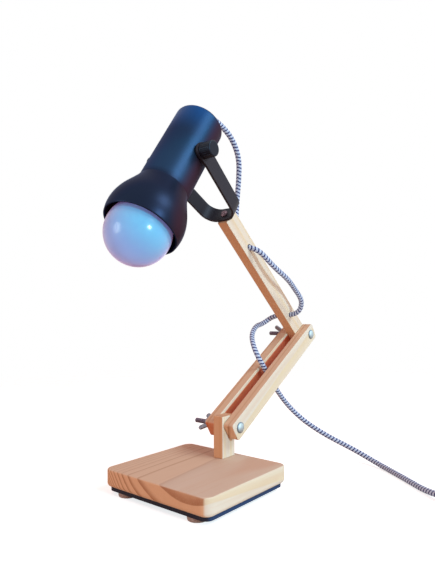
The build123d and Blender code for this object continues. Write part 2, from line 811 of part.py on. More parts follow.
# Lead and plug
coil_end = coil_stops[-1][0]
plug_z = plug_height / 2
plug_start = Vector(coil_end.X + 6, coil_end.Y + 44, plug_z)
pieces["cord_to_plug"] = cord(
    "cord_to_plug",
    coil_end,
    (coil_end.X, coil_end.Y + 15, coil_end.Z),
    (coil_end.X + 6, coil_end.Y + 30, plug_z),
    plug_start,
)
plug_frame = Plane(origin=plug_start, x_dir=(0, 0, 1), z_dir=(0, 1, 0))
plug = lathe((0, 0), (4.0, 0), (5.8, plug_tail), (0, plug_tail))
grip = extrude(Pos(0, 0, plug_tail) * RectangleRounded(plug_height, plug_width, 5.5), plug_length)
grip = fillet(grip.faces().filter_by(Axis.Z).edges(), 1.5)
plug += grip
plug_face = plug_tail + plug_length
pins = Part()
for side in (-1, 1):
    pin = rod(pin_radius, plug_face - 6, plug_face + pin_length)
    pin = fillet(pin.edges().sort_by(Axis.Z)[-1], 1.2)
    spot = Pos(0, side * pin_spacing / 2, 0)
    pins += spot * pin
    plug -= spot * rod(pin_radius + seat_clearance, plug_face - 6 - seat_clearance, plug_face + 1)
pieces["plug_body"] = plug_frame * plug
pieces["plug_pins"] = plug_frame * pins

os.makedirs("parts", exist_ok=True)
for name, piece in pieces.items():
    export_step(piece, f"parts/{name}.step")
print(len(pieces), "pieces")
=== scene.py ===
"""Looks of the wooden swing-arm desk lamp: finishes, braided cord, tie, felt feet, floor, light and camera.

Metres, +Z up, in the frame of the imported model. The arms move in the XZ plane.
"""
import json
import math

import bpy
import numpy as np
from mathutils import Matrix, Vector


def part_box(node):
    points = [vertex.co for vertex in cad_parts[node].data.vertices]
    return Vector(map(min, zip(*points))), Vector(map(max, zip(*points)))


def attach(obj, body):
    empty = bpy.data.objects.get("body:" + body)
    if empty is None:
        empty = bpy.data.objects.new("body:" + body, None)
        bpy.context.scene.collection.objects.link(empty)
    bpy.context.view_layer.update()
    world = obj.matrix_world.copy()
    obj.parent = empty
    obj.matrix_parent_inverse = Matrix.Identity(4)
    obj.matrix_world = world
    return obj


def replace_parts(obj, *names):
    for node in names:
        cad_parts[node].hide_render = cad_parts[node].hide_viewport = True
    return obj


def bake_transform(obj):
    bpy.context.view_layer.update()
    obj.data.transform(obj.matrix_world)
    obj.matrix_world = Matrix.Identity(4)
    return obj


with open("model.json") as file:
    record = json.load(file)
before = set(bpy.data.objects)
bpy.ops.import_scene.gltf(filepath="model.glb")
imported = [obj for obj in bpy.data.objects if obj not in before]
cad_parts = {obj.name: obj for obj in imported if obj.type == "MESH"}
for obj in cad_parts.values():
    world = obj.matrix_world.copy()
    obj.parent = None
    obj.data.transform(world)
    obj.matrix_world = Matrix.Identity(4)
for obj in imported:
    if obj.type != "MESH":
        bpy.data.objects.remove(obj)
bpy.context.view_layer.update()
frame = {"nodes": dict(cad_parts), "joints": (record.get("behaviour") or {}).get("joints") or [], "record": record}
nodes = frame["nodes"]
slots = {part["node"]: part["material_slot"] for part in frame["record"]["subparts"]}
MM = 0.001


def heading(angle):
    """Unit vector in the XZ plane at an angle in degrees above +X."""
    a = math.radians(angle)
    return Vector((math.cos(a), 0, math.sin(a)))


def new_object(name, data):
    """Object in the scene with some data."""
    thing = bpy.data.objects.new(name, data)
    bpy.context.scene.collection.objects.link(thing)
    return thing


def new_piece(name, points, faces, material, smooth=True):
    """Mesh object with one material."""
    mesh = bpy.data.meshes.new(name)
    mesh.from_pydata(points, [], faces)
    mesh.polygons.foreach_set("use_smooth", [smooth] * len(faces))
    mesh.materials.append(material)
    return new_object(name, mesh)


# Places on the lamp from the joints of the frame, and directions in degrees above +X
joint_at = {joint["name"]: Vector(joint["pos_m"]) for joint in frame["joints"]}
lower_pivot = joint_at["base_pivot"]
elbow = joint_at["elbow_pivot"]
tilt_pivot = joint_at["head_tilt"]
lower_angle = 31.4
upper_angle = 138.1
head_angle = 55.0
head_way = heading(head_angle)
pivot_from_mouth = 90.6 * MM
mouth = tilt_pivot - head_way * pivot_from_mouth
deck_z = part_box("base_block")[1].z


class Shader:
    """Node tree of one material, with short calls for the nodes that the finishes use."""

    def __init__(self, name, **settings):
        self.material = bpy.data.materials.new(name)
        self.material.use_nodes = True
        self.tree = self.material.node_tree
        self.bsdf = self.tree.nodes["Principled BSDF"]
        for socket, value in settings.items():
            self.set(socket.replace("_", " "), value)

    def set(self, socket, value):
        """Sets or links one input of the surface shader."""
        names = {name.lower(): name for name in self.bsdf.inputs.keys()}
        self.feed(self.bsdf.inputs[names[socket.lower()]], value)

    def add(self, kind, **settings):
        """New node with some of its properties set."""
        node = self.tree.nodes.new(kind)
        for name, value in settings.items():
            setattr(node, name, value)
        return node

    def feed(self, socket, value):
        """Links a socket into another, or writes a value into it."""
        if isinstance(value, bpy.types.NodeSocket):
            self.tree.links.new(value, socket)
        elif socket.type == "RGBA" and len(value) == 3:
            socket.default_value = (*value, 1.0)
        else:
            socket.default_value = value

    def place(self, turn=0.0, origin=(0, 0, 0)):
        """Object coordinates from an origin, turned about Y."""
        spin = Matrix.Rotation(math.radians(turn), 3, "Y")
        source = self.add("ShaderNodeTexCoord")
        turned = self.add("ShaderNodeMapping")
        turned.inputs["Rotation"].default_value = (0, math.radians(turn), 0)
        turned.inputs["Location"].default_value = -(spin @ Vector(origin))
        self.feed(turned.inputs["Vector"], source.outputs["Object"])
        return turned.outputs["Vector"]

    def vector_math(self, operation, a, b):
        """Node for one step with two vectors."""
        node = self.add("ShaderNodeVectorMath", operation=operation)
        self.feed(node.inputs[0], a)
        self.feed(node.inputs[1], b)
        return node

    def stretch(self, vector, scale):
        """Vector scaled along its three axes."""
        return self.vector_math("MULTIPLY", vector, scale).outputs["Vector"]

    def reach(self, vector, way):
        """How far a vector goes along a direction."""
        return self.vector_math("DOT_PRODUCT", vector, way).outputs["Value"]

    def facing(self, way):
        """How far the surface faces a direction, from -1 to 1."""
        return self.reach(self.add("ShaderNodeTexCoord").outputs["Normal"], way)

    def split(self, vector):
        """The three numbers of a vector."""
        node = self.add("ShaderNodeSeparateXYZ")
        self.feed(node.inputs[0], vector)
        return node.outputs["X"], node.outputs["Y"], node.outputs["Z"]

    def math(self, operation, a, b=0.0, c=0.0):
        """One arithmetic step."""
        node = self.add("ShaderNodeMath", operation=operation)
        for socket, value in zip(node.inputs, (a, b, c)):
            self.feed(socket, value)
        return node.outputs[0]

    def hypot(self, a, b):
        """Long side of a right triangle."""
        square = self.math("ADD", self.math("MULTIPLY", a, a), self.math("MULTIPLY", b, b))
        return self.math("SQRT", square)

    def ramp(self, value, low, high, to_low=0.0, to_high=1.0):
        """Smooth step from low to high, between two levels."""
        node = self.add("ShaderNodeMapRange", interpolation_type="SMOOTHSTEP")
        for name, number in zip(
            ("Value", "From Min", "From Max", "To Min", "To Max"), (value, low, high, to_low, to_high)
        ):
            self.feed(node.inputs[name], number)
        return node.outputs["Result"]

    def noise(self, vector, scale, detail=2.0, roughness=0.5):
        """Noise from 0 to 1 at a scale."""
        node = self.add("ShaderNodeTexNoise")
        self.feed(node.inputs["Vector"], vector)
        node.inputs["Scale"].default_value = scale
        node.inputs["Detail"].default_value = detail
        node.inputs["Roughness"].default_value = roughness
        return node.outputs["Fac"]

    def mix(self, amount, a, b):
        """Colour between two colours."""
        node = self.add("ShaderNodeMix", data_type="RGBA")
        self.feed(node.inputs["Factor"], amount)
        self.feed(node.inputs[6], a)
        self.feed(node.inputs[7], b)
        return node.outputs[2]

    def bump(self, height, strength, distance):
        """Bump from a height, linked to the surface."""
        node = self.add("ShaderNodeBump")
        node.inputs["Strength"].default_value = strength
        node.inputs["Distance"].default_value = distance
        self.feed(node.inputs["Height"], height)
        self.set("Normal", node.outputs["Normal"])

    def orange_peel(self, spot, grain):
        """Faint relief of sprayed paint, with specks of dust."""
        peel = self.noise(spot, grain, 2.0)
        dust = self.noise(spot, 2600.0, 1.0)
        self.bump(self.math("MULTIPLY_ADD", dust, 0.3, peel), 0.12, 0.08 * MM)


# Finishes
first_ring = 65.9 * MM


def growth_rings(wood, spot, pith, lean):
    """Distance from the pith line, and how far through a ring that is; rings are wider near the pith."""
    ring_spread = 24.0 * MM
    ring_waver = 5.0 * MM
    along, side, up = wood.split(spot)
    wander = wood.noise(wood.stretch(spot, (5, 30, 30)), 1.0, 3.0)
    waver = wood.math("MULTIPLY_ADD", wander, ring_waver, -ring_waver / 2)
    dy = wood.math("SUBTRACT", side, wood.math("MULTIPLY_ADD", along, lean[0], pith[0]))
    dz = wood.math("SUBTRACT", up, wood.math("MULTIPLY_ADD", along, lean[1], pith[1]))
    radius = wood.math("ADD", wood.hypot(dy, dz), waver)
    growth = wood.math("DIVIDE", wood.math("SUBTRACT", radius, first_ring), ring_spread)
    return radius, wood.math("FRACT", wood.math("EXPONENT", growth))


def pine(name, turn, origin, pith, lean=(0.0, 0.0), pale=0.85, narrow_shade=0.0, gap_shade_side=0.0, end_shade=0.0):
    """Pine with growth rings round a pith line, grain along an arm's angle.

    pith is the pith's place across the grain and lean its slopes along it. pale is how far the
    broad sides turn to cream, painted light; amber how far the narrow sides turn to orange,
    painted shade; inside the direction in Y of a broad side that is redder, painted shade, below
    its lit upper strip, or 0; and end_shade how far the end grain turns to russet, painted shade.
    """
    early = (0.68, 0.48, 0.34)
    late = (0.42, 0.20, 0.10)
    heart = (0.58, 0.29, 0.17)
    young = (0.66, 0.53, 0.43)
    end_early = (0.70, 0.41, 0.24)
    end_late = (0.36, 0.14, 0.06)
    cream = (0.77, 0.78, 0.69)
    straw = (0.80, 0.70, 0.42)
    orange = (0.66, 0.33, 0.15)
    russet = (0.60, 0.11, 0.025)
    streak_brown = (0.60, 0.35, 0.20)
    fibre_pale = (0.80, 0.62, 0.46)
    heart_edge = (49.4 * MM, 53.4 * MM)
    young_edge = (first_ring - 3.0 * MM, first_ring + 1.0 * MM)
    lit_strip_edge = (6.2 * MM, 7.2 * MM)
    wood = Shader(name, specular_ior_level=0.3)
    spot = wood.place(turn, origin)
    radius, phase = growth_rings(wood, spot, pith, lean)
    falling = wood.ramp(phase, 0.96, 1.0, 1.0, 0.0)
    latewood = wood.math("MULTIPLY", wood.ramp(phase, 0.45, 0.95), falling)
    line = wood.math("MULTIPLY", wood.ramp(phase, 0.72, 0.96), falling)
    core = wood.ramp(radius, *heart_edge, 0.45, 0.0)
    inmost = wood.ramp(radius, *young_edge, 0.7, 0.0)
    fibre = wood.noise(wood.stretch(spot, (18, 900, 900)), 1.0, 3.0, 0.6)
    streak = wood.noise(wood.stretch(spot, (7, 160, 160)), 1.0, 2.0)

    # Sides by the way they face
    across = wood.facing((0, 1, 0))
    end_face = wood.ramp(wood.math("ABSOLUTE", wood.facing(heading(turn))), 0.6, 0.95)
    broad_face = wood.ramp(wood.math("ABSOLUTE", across), 0.35, 0.60)
    # Painted shade: the broad side that faces the gap between the slats turns russet below its lit upper strip.
    gap_shade = wood.ramp(wood.math("MULTIPLY", across, gap_shade_side), 0.35, 0.60, 0.0, 0.9)
    below_lit_strip = wood.ramp(wood.split(spot)[2], *lit_strip_edge, 1.0, 0.0)
    gap_shade = wood.math("MULTIPLY", gap_shade, below_lit_strip)

    side_tone = wood.mix(wood.math("MULTIPLY", line, 0.60), early, late)
    side_tone = wood.mix(core, wood.mix(inmost, side_tone, young), heart)
    # Painted shade: the narrow sides turn orange.
    side_tone = wood.mix(narrow_shade, side_tone, orange)
    end_tone = wood.mix(wood.math("MULTIPLY", latewood, 0.85), end_early, end_late)
    # Painted shade: the end grain turns russet.
    end_tone = wood.mix(end_shade, end_tone, russet)
    # Painted light: the broad sides turn to a pale cream that stands in for the bright lamp on them; the straw
    # bands are latewood.
    lit_broad_tone = wood.mix(wood.math("MULTIPLY", latewood, 0.55), cream, straw)
    tone = wood.mix(end_face, side_tone, end_tone)
    tone = wood.mix(wood.math("MULTIPLY", broad_face, pale), tone, lit_broad_tone)
    tone = wood.mix(gap_shade, tone, russet)
    tone = wood.mix(wood.ramp(streak, 0.45, 0.75, 0.0, 0.20), tone, streak_brown)
    tone = wood.mix(wood.ramp(fibre, 0.5, 0.8, 0.0, 0.25), tone, fibre_pale)
    wood.set("Base Color", tone)
    wood.set("Roughness", wood.math("MULTIPLY_ADD", fibre, 0.25, 0.45))
    wood.bump(wood.math("MULTIPLY_ADD", latewood, 0.6, fibre), 0.35, 0.12 * MM)
    return wood.material


def paint(name, colour, second, roughness, tint, level, grain, shaded_flank=None):
    """Satin paint with a faint orange peel and slow changes of tone and gloss.

    flank is a painted shade colour for the sides that face -X, where it is given.
    """
    coat = Shader(name, specular_ior_level=level, specular_tint=tint)
    spot = coat.place()
    slow = coat.noise(spot, 22.0, 2.0)
    tone = coat.mix(coat.ramp(slow, 0.35, 0.65), colour, second)
    # Painted shade on the sides that face -X.
    if shaded_flank:
        tone = coat.mix(coat.ramp(coat.facing((1, 0, 0)), -0.8, -0.3, 0.9, 0.0), tone, shaded_flank)
    coat.set("Base Color", tone)
    coat.set("Roughness", coat.math("MULTIPLY_ADD", slow, 0.10, roughness))
    coat.orange_peel(spot, grain)
    return coat.material


def head_enamel(name):
    """Metallic indigo enamel: darker bell, with painted light: a highlight on the neck, a warm
    reflection on the side by the arm, and a blue reflection on the closed end.
    """
    indigo = (0.0125, 0.037, 0.082)
    slate = (0.0145, 0.031, 0.072)
    highlight_blue = (0.022, 0.050, 0.105)
    darker = (0.013, 0.016, 0.032)
    reflection_blue = (0.002, 0.065, 0.240)
    warmer = (0.062, 0.018, 0.022)
    arm_side = (0.63, -0.76, -0.15)
    bell_top = (44.0 * MM, 54.0 * MM)
    neck_fade = (60.0 * MM, 105.0 * MM)
    end_start = (100.0 * MM, 136.0 * MM)
    coat = Shader(name, specular_tint=(0.06, 0.18, 0.42))
    spot = coat.place()
    slow = coat.noise(spot, 22.0, 2.0)
    station = coat.math("SUBTRACT", coat.reach(spot, head_way), mouth.dot(head_way))
    by_arm = coat.facing(arm_side)
    bell = coat.ramp(station, *bell_top, 1.0, 0.0)
    # Painted highlight: the neck turns a lighter blue where the lamp's highlight band is brightest.
    neck = coat.math("MULTIPLY", coat.ramp(station, *bell_top), coat.ramp(station, *neck_fade, 0.6, 0.0))
    # Painted reflection: the closed end turns blue and less metallic, less so on the side by the arm.
    end = coat.math("MULTIPLY", coat.ramp(station, *end_start), coat.ramp(by_arm, 0.1, 0.5, 1.0, 0.1))
    tone = coat.mix(coat.ramp(slow, 0.35, 0.65), indigo, slate)
    tone = coat.mix(neck, tone, highlight_blue)
    tone = coat.mix(coat.math("MULTIPLY", bell, 0.8), tone, darker)
    tone = coat.mix(coat.math("MULTIPLY", end, 0.85), tone, reflection_blue)
    # Painted reflection: a warm red on the side by the arm.
    tone = coat.mix(coat.ramp(by_arm, 0.60, 0.95, 0.0, 0.85), tone, warmer)
    coat.set("Base Color", tone)
    coat.set("Metallic", coat.math("MULTIPLY_ADD", end, -0.5, 0.7))
    gloss = coat.math("MULTIPLY_ADD", bell, -0.06, 0.39)
    coat.set("Roughness", coat.math("MULTIPLY_ADD", slow, 0.08, gloss))
    coat.orange_peel(spot, 420.0)
    return coat.material


def metal(name, colour, second, roughness, scale):
    """Plated or cast metal with small changes of tone and gloss."""
    plating = Shader(name, metallic=1.0)
    spot = plating.place()
    blot = plating.noise(spot, scale, 3.0, 0.6)
    fine = plating.noise(spot, scale * 9.0, 2.0)
    plating.set("Base Color", plating.mix(plating.ramp(blot, 0.3, 0.7), colour, second))
    plating.set("Roughness", plating.math("MULTIPLY_ADD", fine, 0.22, roughness))
    plating.bump(fine, 0.15, 0.05 * MM)
    return plating.material


def bolt_zinc(name, axis):
    """Plated bolt: pale domed head with a dull rim, and a dark threaded end, round an axis along Y."""
    pale = (0.52, 0.60, 0.64)
    grey = (0.44, 0.53, 0.58)
    dull = (0.16, 0.20, 0.25)
    groove_shade = (0.07, 0.04, 0.06)
    crest = (0.24, 0.17, 0.21)
    rim_radii = (4.0 * MM, 5.6 * MM)
    thread_start = (18.0 * MM, 18.5 * MM)
    thread_pitch = 0.8 * MM
    plating = Shader(name, metallic=1.0)
    spot = plating.place()
    along, side, up = plating.split(spot)
    away = plating.math("SUBTRACT", along, axis.x)
    over = plating.math("SUBTRACT", up, axis.z)
    rim = plating.ramp(plating.hypot(away, over), *rim_radii)
    blot = plating.noise(spot, 500.0, 3.0, 0.6)
    head = plating.mix(rim, plating.mix(blot, pale, grey), dull)
    # Painted shade: the thread's grooves are darker than its crests.
    thread = plating.math("SINE", plating.math("MULTIPLY", side, 2 * math.pi / thread_pitch))
    end = plating.mix(plating.ramp(thread, -0.8, 0.6), groove_shade, crest)
    threaded = plating.ramp(side, *thread_start)
    plating.set("Base Color", plating.mix(threaded, head, end))
    plating.set("Roughness", plating.math("MULTIPLY_ADD", blot, 0.15, 0.54))
    plating.bump(plating.math("MULTIPLY", thread, threaded), 0.8, 0.2 * MM)
    return plating.material


def plastic(name, colour, second, roughness, grain):
    """Moulded plastic with a fine spark texture."""
    resin = Shader(name, specular_ior_level=0.4)
    spot = resin.place()
    slow = resin.noise(spot, 60.0, 2.0)
    spark = resin.noise(spot, grain, 2.0)
    resin.set("Base Color", resin.mix(slow, colour, second))
    resin.set("Roughness", resin.math("MULTIPLY_ADD", slow, 0.12, roughness))
    resin.bump(spark, 0.2, 0.06 * MM)
    return resin.material


def cloth(name, colour, second, scale, nap):
    """Felt or webbing with fibres and a soft sheen."""
    fabric = Shader(name, sheen_weight=0.35, sheen_roughness=0.5, sheen_tint=colour)
    spot = fabric.place()
    fluff = fabric.noise(spot, scale, 4.0, 0.7)
    hairs = fabric.noise(spot, scale * 5.0, 2.0, 0.7)
    fabric.set("Base Color", fabric.mix(fabric.ramp(fluff, 0.3, 0.7), colour, second))
    fabric.set("Roughness", fabric.math("MULTIPLY_ADD", hairs, 0.1, 0.85))
    fabric.bump(fabric.math("ADD", fluff, hairs), 0.6, nap)
    return fabric.material


def opal(name):
    """Opal bulb glass: milky and glossy, pale blue, lavender at the edge from the sheen, painted
    lavender shade below, and a faint painted glow.
    """
    blue = (0.02, 0.48, 0.72)
    second_blue = (0.04, 0.50, 0.74)
    lavender = (0.19, 0.45, 0.88)
    painted_shade_side = (-0.45, 0.54, -0.71)
    glass = Shader(
        name,
        roughness=0.22,
        specular_ior_level=0.35,
        coat_weight=0.25,
        coat_roughness=0.12,
        subsurface_weight=0.3,
        subsurface_radius=(0.006, 0.008, 0.012),
        subsurface_scale=0.5,
        sheen_weight=1.0,
        sheen_roughness=0.55,
        sheen_tint=(0.84, 0.62, 1.0),
        # Painted glow: the bulb is off, and this faint light lifts its shade.
        emission_color=(0.46, 0.34, 0.95),
        emission_strength=0.20,
    )
    cloud = glass.noise(glass.place(), 18.0, 2.0)
    tone = glass.mix(glass.ramp(cloud, 0.25, 0.75), blue, second_blue)
    # Painted shade: lavender on the side away from the key lamp, below.
    share = glass.ramp(glass.facing(painted_shade_side), -0.35, 0.75, 0.0, 0.85)
    glass.set("Base Color", glass.mix(share, tone, lavender))
    return glass.material


def braid(name):
    """Textile braid: navy and white zigzag over a fine weave, along the cord's own length."""
    navy = (0.011, 0.024, 0.155)
    white = (0.58, 0.73, 0.96)
    shadow = (0.05, 0.07, 0.20)
    carriers = 12.0
    zigzags = 2.0
    zigzag_depth = 0.50
    navy_edge = (0.19, 0.27)
    strands_per_period = 3.0
    yarn = Shader(name, sheen_weight=0.15, sheen_roughness=0.5)
    around, length = yarn.split(yarn.add("ShaderNodeTexCoord").outputs["UV"])[:2]
    fold = yarn.math("PINGPONG", yarn.math("MULTIPLY", around, 2.0 * zigzags), 1.0)
    stripe = yarn.math("FRACT", yarn.math("MULTIPLY_ADD", fold, zigzag_depth, length))
    from_middle = yarn.math("ABSOLUTE", yarn.math("SUBTRACT", stripe, 0.5))
    humps = []
    for way in (1.0, -1.0):
        slant = yarn.math("MULTIPLY", around, way * carriers)
        strand = yarn.math("FRACT", yarn.math("MULTIPLY_ADD", length, strands_per_period, slant))
        humps.append(yarn.math("PINGPONG", strand, 0.5))
    weave = yarn.math("MAXIMUM", *humps)
    share = yarn.ramp(yarn.math("MULTIPLY_ADD", weave, 0.10, from_middle), *navy_edge)
    tone = yarn.mix(share, navy, white)
    # Painted shade: the low places of the weave turn dark blue.
    tone = yarn.mix(yarn.ramp(weave, 0.1, 0.35, 0.40, 0.0), tone, shadow)
    yarn.set("Base Color", tone)
    yarn.set("Roughness", yarn.math("MULTIPLY_ADD", weave, -0.3, 0.9))
    yarn.bump(weave, 0.5, 0.2 * MM)
    return yarn.material


# One finish for each slot of the record
finishes = {
    "plate_paint": paint(
        "plate_paint",
        (0.022, 0.055, 0.150),
        (0.028, 0.052, 0.120),
        roughness=0.50,
        tint=(0.25, 0.6, 1.0),
        level=0.20,
        grain=700.0,
        shaded_flank=(0.026, 0.018, 0.018),
    ),
    "head_paint": head_enamel("head_paint"),
    "yoke_paint": paint(
        "yoke_paint",
        (0.013, 0.011, 0.017),
        (0.018, 0.013, 0.017),
        roughness=0.44,
        tint=(0.6, 0.7, 0.9),
        level=0.30,
        grain=900.0,
    ),
    "zinc": metal("zinc", (0.58, 0.66, 0.76), (0.46, 0.54, 0.66), roughness=0.26, scale=500.0),
    "brass": metal("brass", (0.78, 0.58, 0.28), (0.70, 0.50, 0.22), roughness=0.24, scale=300.0),
    "aluminium": metal("aluminium", (0.78, 0.79, 0.81), (0.70, 0.71, 0.73), roughness=0.28, scale=300.0),
    "nickel": metal("nickel", (0.74, 0.72, 0.68), (0.66, 0.64, 0.60), roughness=0.18, scale=300.0),
    "black_plastic": plastic(
        "black_plastic", (0.012, 0.012, 0.016), (0.020, 0.019, 0.022), roughness=0.40, grain=1800.0
    ),
    "bulb_white": plastic(
        "bulb_white", (0.72, 0.72, 0.73), (0.80, 0.80, 0.80), roughness=0.30, grain=900.0
    ),
    "opal": opal("opal"),
    "felt": cloth("felt", (0.42, 0.31, 0.27), (0.30, 0.22, 0.19), scale=900.0, nap=0.3 * MM),
    "tie": cloth("tie", (0.020, 0.020, 0.024), (0.035, 0.034, 0.038), scale=1200.0, nap=0.2 * MM),
    "braid": braid("braid"),
}

# Pieces that differ from their slot's finish; the pine pieces each have their own grain
wing_grey = metal("wing_nut_zinc", (0.30, 0.28, 0.31), (0.19, 0.16, 0.19), roughness=0.38, scale=420.0)
screw_dull = metal("screw_dull", (0.30, 0.19, 0.22), (0.20, 0.12, 0.14), roughness=0.46, scale=700.0)
knob_black = paint(
    "knob_black",
    (0.008, 0.008, 0.014),
    (0.011, 0.009, 0.013),
    roughness=0.30,
    tint=(0.35, 0.65, 1.0),
    level=0.24,
    grain=600.0,
)
post_x = 43.0 * MM
special = {
    "lower_bolt": bolt_zinc("lower_bolt_zinc", lower_pivot),
    "elbow_bolt": bolt_zinc("elbow_bolt_zinc", elbow),
    "lower_wing_nut": wing_grey,
    "elbow_wing_nut": wing_grey,
    "yoke_screw": screw_dull,
    "tilt_knob_near": knob_black,
    "tilt_knob_far": knob_black,
    "base_block": pine("pine_base", 0.0, (0, 0, deck_z), pith=(-0.041, 0.0522), lean=(0.0, -0.08)),
    "post": pine("pine_post", 90.0, (post_x, 0, deck_z), pith=(0.055, -0.070), narrow_shade=0.75),
    "slat_near": pine(
        "pine_slat_near",
        lower_angle,
        lower_pivot,
        pith=(-0.095, -0.03),
        lean=(0.0, 0.03),
        narrow_shade=0.2,
        gap_shade_side=1.0,
    ),
    "slat_far": pine(
        "pine_slat_far",
        lower_angle,
        lower_pivot,
        pith=(0.09, 0.04),
        lean=(0.02, 0.0),
        narrow_shade=0.2,
        gap_shade_side=-1.0,
        end_shade=0.65,
    ),
    "upper_arm": pine(
        "pine_upper_arm",
        upper_angle,
        elbow,
        pith=(-0.055, 0.075),
        lean=(0.015, 0.02),
        pale=0.75,
        narrow_shade=0.75,
    ),
}
for name, node in nodes.items():
    node.data.materials.clear()
    node.data.materials.append(special.get(name) or finishes[slots[name]])

# Routes of the cord, in millimetres, near those of the solid model
elbow_mm = elbow / MM


def on_arm(station, across, y):
    """Point beside the upper arm: along it from the elbow, up from its middle line, and in Y."""
    spot = elbow_mm + heading(upper_angle) * station - heading(upper_angle + 90) * across
    return (spot.x, y, spot.z)


hole_high = 148.0
hole_low = 36.3
gland_from_mouth = 140.8
gland_tip = mouth / MM + head_way * gland_from_mouth
in_gap = Vector((126.0, 0, 98.5))
gap_way = Vector((21.0, 0, -24.3)).normalized()
in_head = [gland_tip - head_way * depth for depth in (45.0, 22.0, 0.0)]
head_loop = [
    gland_tip,
    gland_tip + head_way * 10,
    (37.1, 1.8, 370.4),
    (59.9, 0.6, 359.3),
    (75.3, 2.4, 341.2),
    (81.4, 7.6, 320.2),
    (85.5, 13.4, 299.6),
    (87.0, 16.5, 275.8),
    on_arm(hole_high, 0, 17),
    on_arm(hole_high, 0, 0),
]
arm_loop = [
    on_arm(hole_high, 0, 0),
    on_arm(hole_high, 0, -14.5),
    on_arm(118.3, -2.1, -23.9),
    on_arm(96.4, 1.5, -29.2),
    on_arm(73.5, 8.2, -25.2),
    on_arm(50.0, 8.8, -26.0),
    on_arm(hole_low, 0, -16.1),
    on_arm(hole_low, 0, 0),
]
elbow_loop = [
    on_arm(hole_low, 0, 0),
    on_arm(hole_low, 0, 16.5),
    (152.0, 26.2, 158.0),
    (135.5, 24.7, 156.0),
    (120.8, 20.6, 146.0),
    (111.6, 11.8, 135.3),
    (109.3, 3.9, 122.7),
    in_gap - gap_way * 16,
    in_gap,
]
switch_turn = math.radians(258.5)
switch_way = Vector((math.cos(switch_turn), math.sin(switch_turn), 0))
switch_centre = Vector((100.4, -257.2, 8.5))
switch_half = 36.0
switch_in = switch_centre - switch_way * switch_half
switch_out = switch_centre + switch_way * switch_half
axis_on_floor = 3.0
to_switch = [
    in_gap,
    in_gap + gap_way * 32,
    (168.3, -14.1, 46.1),
    (179.9, -41.7, 27.2),
    (188.5, -74.0, 13.6),
    (184.5, -106.0, axis_on_floor),
    (154.5, -145.0, axis_on_floor),
    (127.0, -178.5, axis_on_floor),
    switch_in - switch_way * 15,
    switch_in,
]
axis_in_coil = 3.9
coil_centre = Vector((165.0, -290.5, axis_in_coil))
coil_outer = 41.25
coil_pitch = 6.6
half_turns_in = 5
half_turns = 10.5
steps_per_half_turn = 12


def coil_spot(count):
    """Point on the coil after a number of half turns: in on the floor, up, and out on top."""
    climbed = min(max(count - half_turns_in, 0), 1)
    inward = min(count, half_turns_in)
    outward = max(count - half_turns_in - 1, 0)
    radius = coil_outer - coil_pitch / 2 * (inward - outward)
    radius -= coil_pitch / 4 * math.sin(math.pi * climbed)
    rise = coil_pitch * climbed * climbed * (3 - 2 * climbed)
    turn = math.radians(180 * count - 90)
    return coil_centre + Vector((radius * math.cos(turn), radius * math.sin(turn), rise))


coil_steps = int(half_turns * steps_per_half_turn)
coil = [coil_spot(step / steps_per_half_turn) for step in range(coil_steps + 1)]
lead = [
    switch_out,
    switch_out + switch_way * 16,
    (113.0, -331.75, axis_in_coil),
    *coil,
    coil[-1] + Vector((0, 15, 0)),
    coil[-1] + Vector((6, 30, -3.5)),
    coil[-1] + Vector((6, 44, -3.5)),
]

# Braided cord
cord_radius = 2.9 * MM
cord_sides = 24
ring_step = 0.6 * MM
braid_period = 3.8 * MM
yarn_relief = 0.13 * MM
yarns_around = 4


def smooth_line(name, route):
    """Evenly spaced points, in metres, along the spline whose control points are a route."""
    curve = bpy.data.curves.new(name, "CURVE")
    curve.dimensions = "3D"
    curve.resolution_u = 24
    spline = curve.splines.new("NURBS")
    spline.points.add(len(route) - 1)
    for spot, point in zip(spline.points, route):
        spot.co = (*(Vector(point) * MM), 1.0)
    spline.order_u = 3
    spline.use_endpoint_u = True
    holder = new_object(name, curve)
    traced = bpy.data.meshes.new_from_object(holder)
    line = np.array([v.co for v in traced.vertices])
    bpy.data.objects.remove(holder)
    bpy.data.curves.remove(curve)
    bpy.data.meshes.remove(traced)
    gone = np.concatenate([[0], np.cumsum(np.linalg.norm(np.diff(line, axis=0), axis=1))])
    even = np.linspace(0, gone[-1], int(round(gone[-1] / ring_step)) + 1)
    return np.column_stack([np.interp(even, gone, line[:, axis]) for axis in range(3)]), even


def cord_rings(line, gone):
    """Rings of the tube round a line, turned as little as possible, with the braid's relief."""
    ways = np.gradient(line, axis=0)
    ways /= np.linalg.norm(ways, axis=1)[:, None]
    upright = abs(ways[0][2]) >= 0.9
    side = np.cross(ways[0], (1.0, 0.0, 0.0) if upright else (0.0, 0.0, 1.0))
    turns = np.arange(cord_sides) * 2 * math.pi / cord_sides
    rings = []
    for spot, way, far in zip(line, ways, gone):
        side = side - way * side.dot(way)
        side /= np.linalg.norm(side)
        across = np.cross(way, side)
        advance = 2 * math.pi * far / braid_period
        over = np.cos(yarns_around * turns + advance)
        under = np.cos(yarns_around * turns - advance)
        radius = cord_radius - yarn_relief * (1 - np.maximum(over, under)) / 2
        rings.append(
            spot + np.outer(radius * np.cos(turns), side) + np.outer(radius * np.sin(turns), across)
        )
    return np.array(rings)


